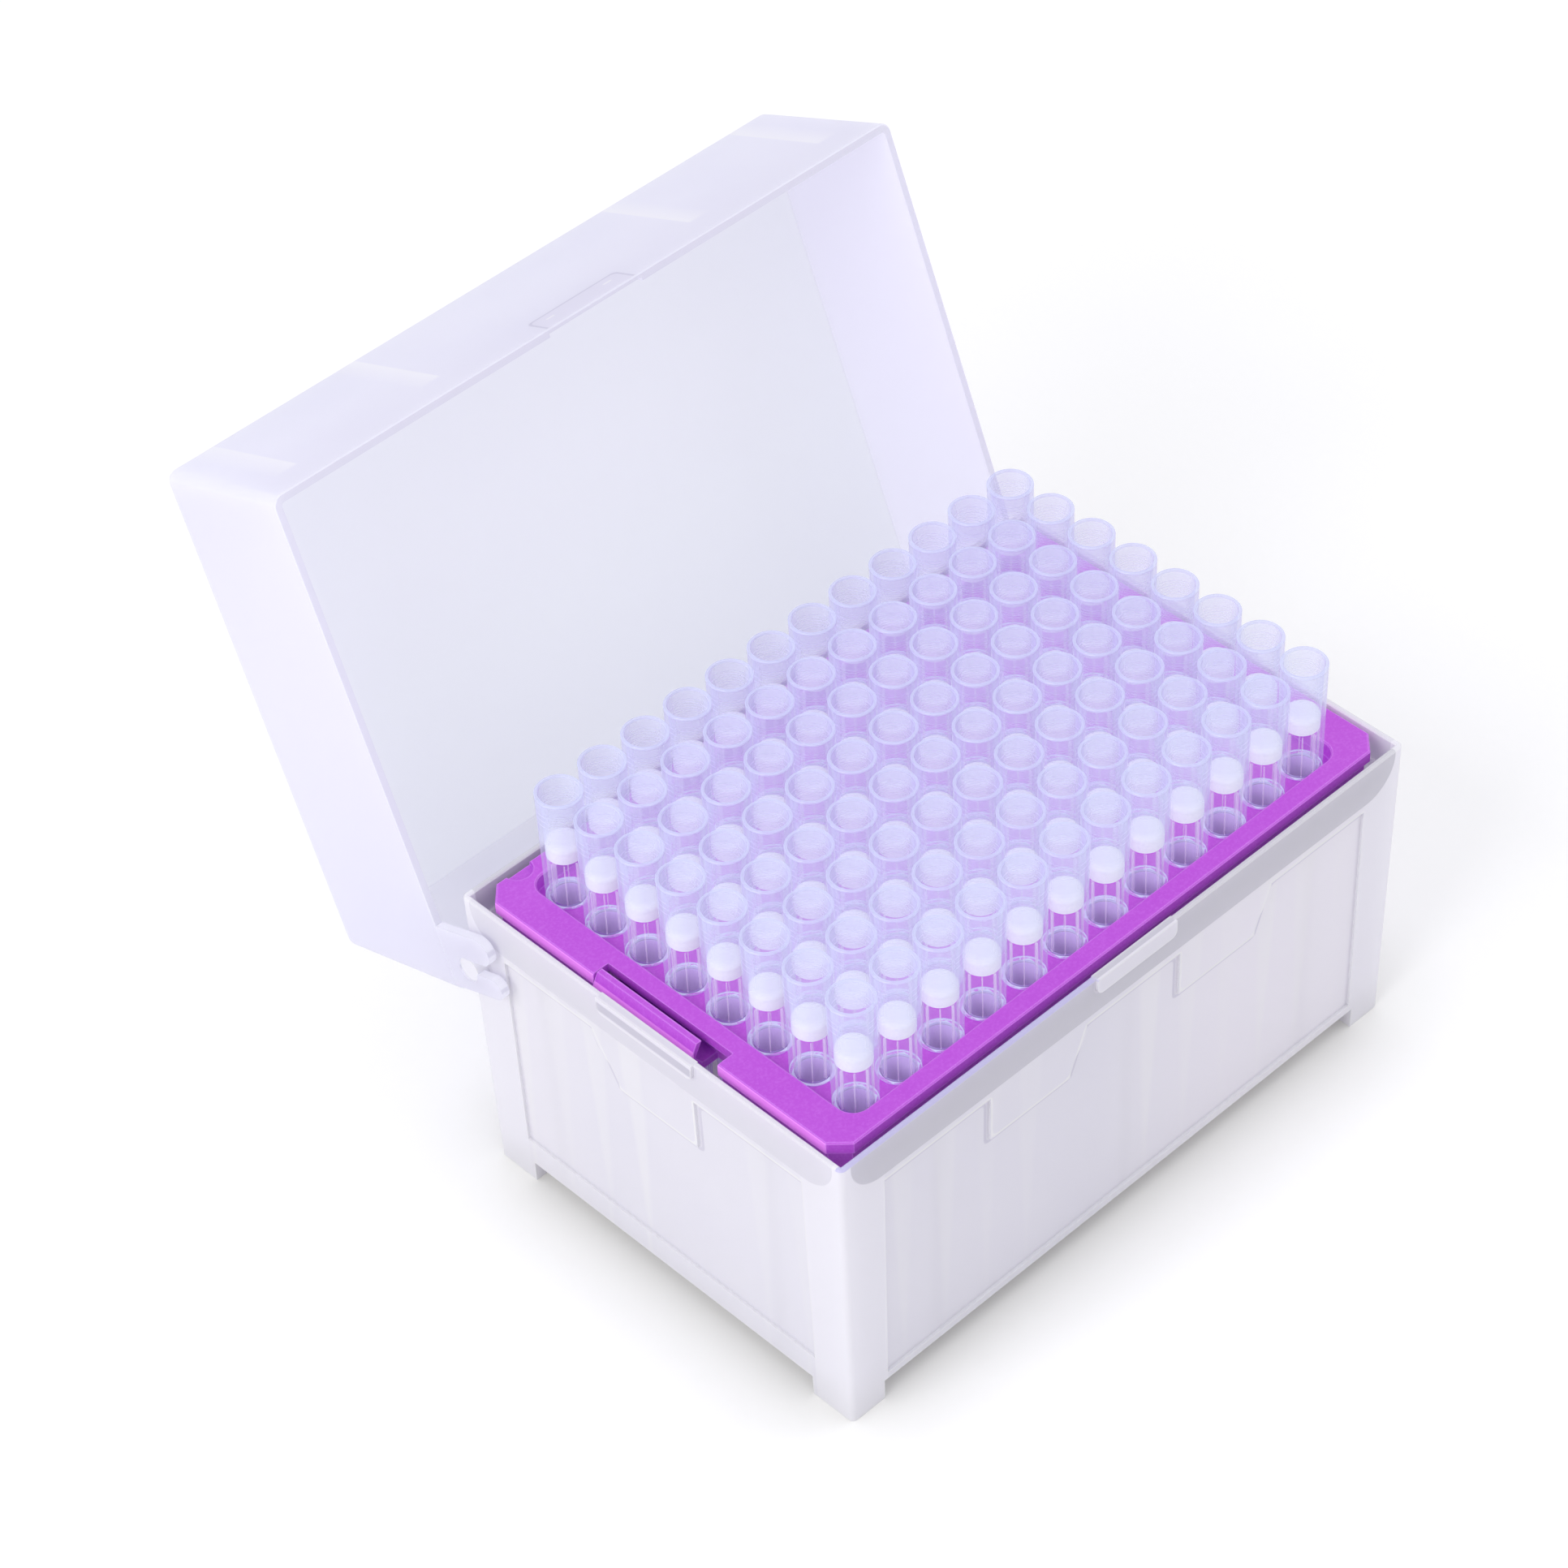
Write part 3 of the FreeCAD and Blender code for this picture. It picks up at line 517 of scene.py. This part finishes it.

# %% [markdown]
# ## Sintered polyethylene for the filters
#
# The plugs are grains of polyethylene fused together: matt, white, and slightly rough,
# with light that sinks in between the grains. The grains are drawn at 0.3 mm, which is
# coarser than real ones so that they show, and a fine bump breaks the surface up. The
# base colour is painted with a faint blue, as painted light tinted by the tips around it.

# %% White filters
GRAIN = 0.30 * MM
sintered, tree = new_material("sintered_polyethylene")
place = add(tree, "ShaderNodeTexCoord")
grains = add(tree, "ShaderNodeTexVoronoi", {"Scale": 1 / GRAIN}, Vector=place.outputs["Object"])
# The white is painted faintly blue, as painted light from the clear tips around the plugs.
mottle = add(
    tree, "ShaderNodeMix", {"data_type": "RGBA", 6: linear("#EEEEFB"), 7: linear("#E2E2F7")},
    Factor=grains.outputs["Distance"],
)
pits = add(
    tree, "ShaderNodeBump", {"Strength": 0.25, "Distance": 0.05 * MM},
    Height=grains.outputs["Distance"],
)
skin = add(
    tree, "ShaderNodeBsdfPrincipled", {"Roughness": 0.75, "IOR": 1.5},
    Base_Color=mottle.outputs[2], Normal=pits.outputs[0],
)
add(tree, "ShaderNodeOutputMaterial", Surface=skin.outputs[0])
for piece in plugs:
    piece.data.materials.append(sintered)
print("filters finished:", len(plugs) * ROWS)

# %% [markdown]
# ## Purple polypropylene for the rack
#
# The rack is moulded in coloured polypropylene. The mould was spark eroded, which leaves a
# fine even grain: the surface is satin, and the colour is deep in the slots. Its edges are
# painted brighter as painted highlights, and the flange's ends are painted paler as painted light.

# %% Purple with its grain
ERODED_GRAIN, CLOUD = 0.45 * MM, 25 * MM
purple, tree = new_material("purple_polypropylene")
place = add(tree, "ShaderNodeTexCoord")
grain = add(
    tree, "ShaderNodeTexNoise", {"Scale": 1 / ERODED_GRAIN, "Detail": 3.0},
    Vector=place.outputs["Object"],
)
clouds = add(tree, "ShaderNodeTexNoise", {"Scale": 1 / CLOUD}, Vector=place.outputs["Object"])
shade = add(
    tree, "ShaderNodeMix", {"data_type": "RGBA", 6: linear("#B644D2"), 7: linear("#BF52DB")},
    Factor=clouds.outputs["Fac"],
)
# Each tiny pit of the eroded skin is a little paler on its lip.
pale_pits = add(
    tree, "ShaderNodeMapRange", {"From Min": 0.45, "From Max": 0.75, "To Max": 0.30},
    Value=grain.outputs["Fac"],
)
colour = painted(tree, shade.outputs[2], "#D47BEC", pale_pits.outputs[0])
print("eroded grain of", ERODED_GRAIN / MM, "mm")

# %% Painted light on the ends and edges, and the skin of the rack
spot = add(tree, "ShaderNodeSeparateXYZ", Vector=place.outputs["Object"])
x_out = add(tree, "ShaderNodeMath", {"operation": "ABSOLUTE"}, i0=spot.outputs["X"]).outputs[0]
flange_end = rack_high.x / MM - 0.1
# The ends of the flange are painted paler, as painted light.
colour = painted(tree, colour, "#F68FFF", between(tree, x_out, flange_end, FAR, 0.05))
# The rack's edges are painted paler, as painted highlights.
colour = painted(tree, colour, "#DC92F5", edges_of(tree, 0.35))
dimples = add(
    tree, "ShaderNodeBump", {"Strength": 0.35, "Distance": 0.03 * MM}, Height=grain.outputs["Fac"]
)
skin = add(
    tree, "ShaderNodeBsdfPrincipled", {"Roughness": 0.38, "IOR": 1.49}, Base_Color=colour,
    Normal=dimples.outputs[0],
)
add(tree, "ShaderNodeOutputMaterial", Surface=skin.outputs[0])
finish("tip_rack", purple)

# %% [markdown]
# ## Frosted polypropylene for the base and the lid
#
# Natural polypropylene is milky, and these mouldings have a finely blasted skin: light
# goes in, scatters and comes out soft, so ribs and tips behind a wall are only pale
# shadows. Subsurface scattering would suit thick milk, but a thin wall is cheaper and
# cleaner as a translucent sheet under a satin skin. The base and the lid share these
# helpers, because they differ only in how thick they are and where they are polished.


# %% Milk and creases
def frosted(name, swatch_deep, swatch_pale):
    """A milky blasted skin: its material, tree, coordinates and colour so far."""
    material, tree = new_material(name)
    place = add(tree, "ShaderNodeTexCoord")
    haze = add(
        tree, "ShaderNodeTexNoise", {"Scale": 1 / (18 * MM), "Detail": 2.0},
        Vector=place.outputs["Object"],
    )
    tones = {"data_type": "RGBA", 6: linear(swatch_deep), 7: linear(swatch_pale)}
    tone = add(tree, "ShaderNodeMix", tones, Factor=haze.outputs["Fac"])
    return material, tree, place, tone.outputs[2]


def creases_of(tree, width):
    """A mask of the moulding's inner corners, where less light gets in."""
    open_air = add(
        tree, "ShaderNodeAmbientOcclusion",
        {"samples": 2, "only_local": True, "Distance": width * MM},
    )
    return add(
        tree, "ShaderNodeMapRange", {"From Min": 0.95, "From Max": 0.55},
        Value=open_air.outputs["AO"],
    ).outputs[0]


print("the milk is uneven over 18 mm, as the melt's flow leaves it")

# %% Frosted wall
BLAST = 0.35 * MM


def shell(tree, place, colour, gloss, through, clear_share):
    """A blasted skin in front, milk that passes light on, and a little clear view."""
    blast = add(
        tree, "ShaderNodeTexNoise", {"Scale": 1 / BLAST, "Detail": 2.0},
        Vector=place.outputs["Object"],
    )
    pits = add(
        tree, "ShaderNodeBump", {"Strength": 0.15, "Distance": 0.02 * MM},
        Height=blast.outputs["Fac"],
    )
    rough = add(tree, "ShaderNodeMapRange", {"To Min": 0.5, "To Max": 0.12}, Value=gloss)
    skin = add(
        tree, "ShaderNodeBsdfPrincipled", {"IOR": 1.49}, Base_Color=colour,
        Roughness=rough.outputs[0], Normal=pits.outputs[0],
    )
    milk = add(tree, "ShaderNodeBsdfTranslucent", Color=colour)
    wall = add(
        tree, "ShaderNodeMixShader", {0: through}, i1=skin.outputs[0], i2=milk.outputs[0]
    )
    sight = add(tree, "ShaderNodeBsdfTransparent")
    whole = add(
        tree, "ShaderNodeMixShader", {0: clear_share}, i1=wall.outputs[0], i2=sight.outputs[0]
    )
    add(tree, "ShaderNodeOutputMaterial", Surface=whole.outputs[0])


print("blasted grain of", BLAST / MM, "mm, drawn coarser than the real one so that it shows")

# %% [markdown]
# ## Outlines on the base
#
# Two outlines on the walls can't be cut by straight levels. The polished band ends in
# large rounded corners, and the raised band under the rim has tongues that hang down with
# one flared side. Both are worked out as distances, so that a line can follow them.


# %% A zone with rounded corners
def rounded_zone(tree, along, up, half, low, radius):
    """1 inside a zone that is closed by two rounded lower corners, all in mm."""
    out = add(tree, "ShaderNodeMath", {"operation": "SUBTRACT", 1: (half - radius) * MM}, i0=along)
    down = add(tree, "ShaderNodeMath", {"operation": "SUBTRACT", 0: (low + radius) * MM}, i1=up)
    out = add(tree, "ShaderNodeMath", {"operation": "MAXIMUM", 1: 0.0}, i0=out.outputs[0])
    down = add(tree, "ShaderNodeMath", {"operation": "MAXIMUM", 1: 0.0}, i0=down.outputs[0])
    corner = add(tree, "ShaderNodeCombineXYZ", X=out.outputs[0], Y=down.outputs[0])
    away = add(tree, "ShaderNodeVectorMath", {"operation": "LENGTH"}, i0=corner.outputs[0])
    return between(tree, away.outputs["Value"], -radius, radius, 0.12)


print("the zone's lower corners are quarter circles")


# %% The outline of a raised band with tongues
def band_edge(tree, along, up, starts, width, flare, top, dip):
    """How far a point is inside the raised band and its tongues, negative outside, from mm."""
    inside_band = add(tree, "ShaderNodeMath", {"operation": "SUBTRACT", 1: top * MM}, i0=up)
    above_dip = add(tree, "ShaderNodeMath", {"operation": "SUBTRACT", 1: dip * MM}, i0=up)
    for start in starts:
        end = start + width
        flared_side = add(
            tree, "ShaderNodeMapRange",
            {"From Min": dip * MM, "From Max": top * MM, "To Min": end * MM,
             "To Max": (end + flare) * MM},
            Value=up,
        )
        from_end = add(
            tree, "ShaderNodeMath", {"operation": "SUBTRACT"}, i0=flared_side.outputs[0], i1=along
        )
        from_start = add(
            tree, "ShaderNodeMath", {"operation": "SUBTRACT", 1: start * MM}, i0=along
        )
        across = add(
            tree, "ShaderNodeMath", {"operation": "MINIMUM"}, i0=from_start.outputs[0],
            i1=from_end.outputs[0],
        )
        tongue = add(
            tree, "ShaderNodeMath", {"operation": "SMOOTH_MIN", 2: 2.0 * MM},
            i0=across.outputs[0], i1=above_dip.outputs[0],
        )
        inside_band = add(
            tree, "ShaderNodeMath", {"operation": "SMOOTH_MAX", 2: 1.5 * MM},
            i0=inside_band.outputs[0], i1=tongue.outputs[0],
        )
    return inside_band.outputs[0]


print("tongue corners are rounded by 2 mm, and their roots by 1.5 mm")

# %% [markdown]
# ## The base
#
# The base's walls have shallow panels between thicker corner posts. The shanks of the
# tips stand close behind them, and their light through the frost is painted on as pale
# streaks. Under the rim runs a polished band, greyer and glossier than the frost, and catch
# bars stand out from it. The finish is laid on from the back to the front: streaks,
# outlines, posts, band, bars, and last the creases and the edges.

# %% Places on the base, in mm
RIM = base_high.z / MM
BAR_DEPTH, PIN_REACH = 0.5, 2.1
HALF_WIDTH = -base_low.y / MM - BAR_DEPTH
HALF_LENGTH = base_high.x / MM - PIN_REACH
SKIN_DEPTH, POST_WIDTH = 1.5, 8.9
print("walls at", round(HALF_LENGTH, 2), "and", round(HALF_WIDTH, 2), "mm, rim at", round(RIM, 2))

# %% The base's milk and the directions on it
frosted_base, tree, place, colour = frosted("frosted_polypropylene", "#F4F3FA", "#F8F7FC")
spot = add(tree, "ShaderNodeSeparateXYZ", Vector=place.outputs["Object"])
x, y, up = (spot.outputs[axis] for axis in "XYZ")
x_out = add(tree, "ShaderNodeMath", {"operation": "ABSOLUTE"}, i0=x).outputs[0]
y_out = add(tree, "ShaderNodeMath", {"operation": "ABSOLUTE"}, i0=y).outputs[0]
on_long = between(tree, y_out, HALF_WIDTH - SKIN_DEPTH, FAR, 0.2)
on_end = between(tree, x_out, HALF_LENGTH - SKIN_DEPTH, FAR, 0.2)
# The walls are painted paler towards the back right, as painted light where the lamps light them
# more.
WHITER_FROM, WHITEST_FROM = -48.0, -16.0
to_back_right = add(
    tree, "ShaderNodeVectorMath", {"operation": "DOT_PRODUCT", 1: (1.0, 1.0, 0.0)},
    i0=place.outputs["Object"],
)
painted_light_back_right = add(
    tree, "ShaderNodeMapRange",
    {"From Min": WHITER_FROM * MM, "From Max": WHITEST_FROM * MM},
    Value=to_back_right.outputs["Value"],
)
colour = painted(tree, colour, "#FCFAFF", painted_light_back_right.outputs[0])
print("base material:", frosted_base.name)

# %% Painted light of the shanks behind the walls
# A shank stands behind the wall each 9 mm, and its light through the frost is painted on as a
# pale streak, which narrows on its way down. A noise paints some streaks paler than others.
STREAK_TOP, STREAK_FOOT = (56, 1.9), (8, 4.2)
for along, on_wall in ((x, on_long), (y, on_end)):
    off_shank = add(
        tree, "ShaderNodeMath", {"operation": "PINGPONG", 1: PITCH / 2 * MM}, i0=along
    )
    gap = add(
        tree, "ShaderNodeMapRange",
        {"From Min": STREAK_FOOT[0] * MM, "From Max": STREAK_TOP[0] * MM,
         "To Min": STREAK_FOOT[1] * MM, "To Max": STREAK_TOP[1] * MM},
        Value=up,
    )
    into_streak = add(
        tree, "ShaderNodeMath", {"operation": "SUBTRACT"}, i0=off_shank.outputs[0],
        i1=gap.outputs[0],
    )
    streak = between(tree, into_streak.outputs[0], 0.0, FAR, 0.5)
    uneven = add(
        tree, "ShaderNodeTexNoise", {"Scale": 1 / (22 * MM), "noise_dimensions": "1D"}, W=along
    )
    shown = add(
        tree, "ShaderNodeMapRange", {"From Min": 0.4, "From Max": 0.7, "To Max": 0.6},
        Value=uneven.outputs["Fac"],
    )
    colour = painted(tree, colour, "#FFFFFF", streak, on_wall, shown.outputs[0])
print("streaks each", PITCH, "mm")

# %% The raised band's lower edge
# The edge turns back to the panel: a fine shade under a fine light.
long_edge = band_edge(tree, x, up, (10.8, -31.2), 17.5, 3.5, RIM - 8.8, RIM - 18.0)
end_edge = band_edge(tree, y, up, (-9.7,), 17.3, 5.3, RIM - 8.8, RIM - 19.0)
for edge, on_wall in ((long_edge, on_long), (end_edge, on_end)):
    colour = painted(tree, colour, "#E6E4EE", on_wall, between(tree, edge, -1.04, -0.56, 0.08))
    colour = painted(tree, colour, "#FFFFFF", on_wall, between(tree, edge, 0.0, 0.44, 0.08))
# The posts outside the panels are thicker, and are painted whiter as painted light beside the
# darker middle of each wall.
long_post = between(tree, x_out, HALF_LENGTH - POST_WIDTH, FAR, 0.1)
end_post = between(tree, y_out, HALF_WIDTH - POST_WIDTH, FAR, 0.1)
colour = painted(tree, colour, "#FBFAFF", long_post, on_long)
colour = painted(tree, colour, "#FBFAFF", end_post, on_end)
print("posts", POST_WIDTH, "mm wide")

# %% The polished band and the catch bars
BAND_FOOT, BAND_ROUND, BAR_FOOT = RIM - 7.4, 6.4, RIM - 4.0
long_band = rounded_zone(tree, x_out, up, 60.6, BAND_FOOT, BAND_ROUND)
end_band = rounded_zone(tree, y_out, up, 39.8, BAND_FOOT, BAND_ROUND)
band = add(tree, "ShaderNodeMath", {"operation": "MAXIMUM"}, i0=long_band, i1=end_band)
# The band is greyer than the frost on the long walls; on the ends it is painted paler, as painted
# light from the lamp on the left.
colour = painted(tree, colour, "#DDDCE3", band.outputs[0], on_long)
colour = painted(tree, colour, "#EFEEF5", band.outputs[0], on_end)
# The bars stand out from the band, so they stay frosted.
near_rim = between(tree, up, BAR_FOOT, FAR, 0.1)
long_bar = between(tree, y_out, HALF_WIDTH + 0.1, FAR, 0.05)
end_bar = between(tree, x_out, HALF_LENGTH + 0.1, FAR, 0.05)
colour = painted(tree, colour, "#F7F6FC", near_rim, long_bar)
colour = painted(tree, colour, "#F7F6FC", near_rim, end_bar)
# The bars on the ends are polished along their middle.
bar_middle = between(tree, up, RIM - 2.55, RIM - 0.85, 0.15)
colour = painted(tree, colour, "#D6D5DF", near_rim, end_bar, bar_middle)
print("band", round(RIM - BAND_FOOT, 1), "mm high, bars", round(RIM - BAR_FOOT, 1), "mm")

# %% Creases, edges and the front lip
# Inner corners gather a little shade, and outer ones catch the light.
colour = painted(tree, colour, "#E3E1EB", creases_of(tree, 0.8))
edge = edges_of(tree, 0.7)
colour = painted(tree, colour, "#FFFFFF", edge)
# The front lip is polished from the corner to the bar, and is painted lavender as a painted
# reflection of the purple rack and tips.
BAR_START = -8.5
on_top = between(tree, up, RIM - 0.3, FAR, 0.05)
in_front = between(tree, y, -FAR, 1.2 - HALF_WIDTH, 0.1)
beside_bar = between(tree, x, -FAR, BAR_START, 0.5)
colour = painted(tree, colour, "#D9D5F8", on_top, in_front, beside_bar)
gloss = add(tree, "ShaderNodeMath", {"operation": "MAXIMUM"}, i0=band.outputs[0], i1=edge)
shell(tree, place, colour, gloss.outputs[0], 0.30, 0.05)
finish("base_box", frosted_base)

# %% [markdown]
# ## The lid
#
# The lid is thinner than the base, so more light comes through it. It rests leaning open,
# and each of its faces is found by the way it faces at rest. The flat inside is painted
# with the sky's tint behind it as painted light, the end walls, the edges and the face of
# the rim are painted a little darker as painted shade, and the front wall, which is on top
# now, has two shallow steps on each side and the outline of the catch.


# %% Faces of the leaning lid
def faces(tree, place, way, start, full):
    """1 where the surface faces that way, fading out at the start."""
    toward = add(
        tree, "ShaderNodeVectorMath", {"operation": "DOT_PRODUCT", 1: way},
        i0=place.outputs["Normal"],
    )
    return add(
        tree, "ShaderNodeMapRange", {"From Min": start, "From Max": full},
        Value=toward.outputs["Value"],
    ).outputs[0]


LEAN = math.radians(frame["joints"][0]["range_deg"][1])
DRAFT = math.radians(1.08)
MOUTH_WAY = (0.0, -math.sin(LEAN), -math.cos(LEAN))
slope = LEAN - math.pi / 2 + DRAFT
WALL_UP = (0.0, math.sin(slope), math.cos(slope))
WALL_BACK = (0.0, math.cos(slope), -math.sin(slope))
print("in degrees, the lid leans", round(math.degrees(LEAN), 1))

# %% The lid's milk, ceiling and end walls
frosted_lid, tree, place, colour = frosted("frosted_lid_polypropylene", "#F7F7FD", "#FBFBFF")
ceiling = faces(tree, place, MOUTH_WAY, 0.97, 0.995)
# The ceiling is painted with a faint blue tint, as painted light from the sky behind it.
colour = painted(tree, colour, "#F9FAFE", ceiling)
sides = add(tree, "ShaderNodeSeparateXYZ", Vector=place.outputs["Normal"])
sideways = add(tree, "ShaderNodeMath", {"operation": "ABSOLUTE"}, i0=sides.outputs["X"])
on_end = add(
    tree, "ShaderNodeMapRange", {"From Min": 0.90, "From Max": 0.98}, Value=sideways.outputs[0]
)
# The end walls are painted a little darker, as painted shade.
colour = painted(tree, colour, "#F6F5FD", on_end.outputs[0])
print("lid material:", frosted_lid.name)

# %% Shade and steps on the lid's front wall
LID_RIM, SHADE_DEPTH, STEP_FADE = 24.25, 15.0, 4.5
# The inside of the back wall faces the same way, lower down.
ABOVE_BACK_WALL = 80.0
spot = add(tree, "ShaderNodeSeparateXYZ", Vector=place.outputs["Object"])
higher = between(tree, spot.outputs["Z"], ABOVE_BACK_WALL, FAR, 1.0)
on_front = add(
    tree, "ShaderNodeMath", {"operation": "MULTIPLY"}, i0=faces(tree, place, WALL_UP, 0.95, 0.99),
    i1=higher,
).outputs[0]
along_wall = add(
    tree, "ShaderNodeVectorMath", {"operation": "DOT_PRODUCT", 1: WALL_BACK},
    i0=place.outputs["Object"],
)
depth = add(
    tree, "ShaderNodeMath", {"operation": "SUBTRACT", 1: LID_RIM * MM},
    i0=along_wall.outputs["Value"],
).outputs[0]
to_rim = add(
    tree, "ShaderNodeMapRange",
    {"From Min": 0.0, "From Max": SHADE_DEPTH * MM, "To Min": 0.3, "To Max": 0.0}, Value=depth,
)
colour = painted(tree, colour, "#EDECF4", on_front, to_rim.outputs[0])
# Each step catches a streak of light that fades outwards.
x_out = add(tree, "ShaderNodeMath", {"operation": "ABSOLUTE"}, i0=spot.outputs["X"]).outputs[0]
above_rim = between(tree, depth, 4.5, FAR, 0.5)
for step in (26.5, 55.2):
    fading = add(
        tree, "ShaderNodeMapRange",
        {"From Min": step * MM, "From Max": (step + STEP_FADE) * MM, "To Min": 1.0, "To Max": 0.0},
        Value=x_out,
    )
    begun = between(tree, x_out, step, FAR, 0.15)
    colour = painted(tree, colour, "#FFFFFF", on_front, above_rim, begun, fading.outputs[0])
print("wall depth from the rim, in mm, starts at", LID_RIM)

# %% The catch, the edges and the rim of the lid
# The catch's slot is outlined near the rim, with a glint at each end.
from_rim = add(tree, "ShaderNodeMath", {"operation": "MULTIPLY", 1: -1.0}, i0=depth).outputs[0]
for half, foot, swatch in ((9.3, 3.5, "#E2E1EA"), (8.9, 3.1, "#F3F2F9")):
    slot = rounded_zone(tree, x_out, from_rim, half, -foot, 1.0)
    colour = painted(tree, colour, swatch, on_front, slot)
glint_x, glint_depth = (5.2, 6.8), (1.05, 1.55)
colour = painted(
    tree, colour, "#FFFFFF", on_front, between(tree, x_out, *glint_x, 0.08),
    between(tree, depth, *glint_depth, 0.08),
)
# The lid's edges are painted a little darker, as painted shade along them.
edge = edges_of(tree, 0.5)
colour = painted(tree, colour, "#F1F0F8", edge)
# The face of the rim is painted darker, as painted shade.
RIM_FACE = -28.5
towards_mouth = add(
    tree, "ShaderNodeVectorMath", {"operation": "DOT_PRODUCT", 1: MOUTH_WAY},
    i0=place.outputs["Object"],
)
painted_shade_rim_face = between(tree, towards_mouth.outputs["Value"], RIM_FACE, FAR, 0.3)
colour = painted(tree, colour, "#E7E6EF", painted_shade_rim_face, ceiling)
shell(tree, place, colour, edge, 0.62, 0.05)
finish("lid", frosted_lid)

# %% [markdown]
# ## Transparency steps
#
# The many clear walls in a row need more steps of transparency than Blender gives at
# first.

# %% View settings
bpy.context.scene.view_settings.view_transform = "Standard"
bpy.context.scene.cycles.transparent_max_bounces = 48
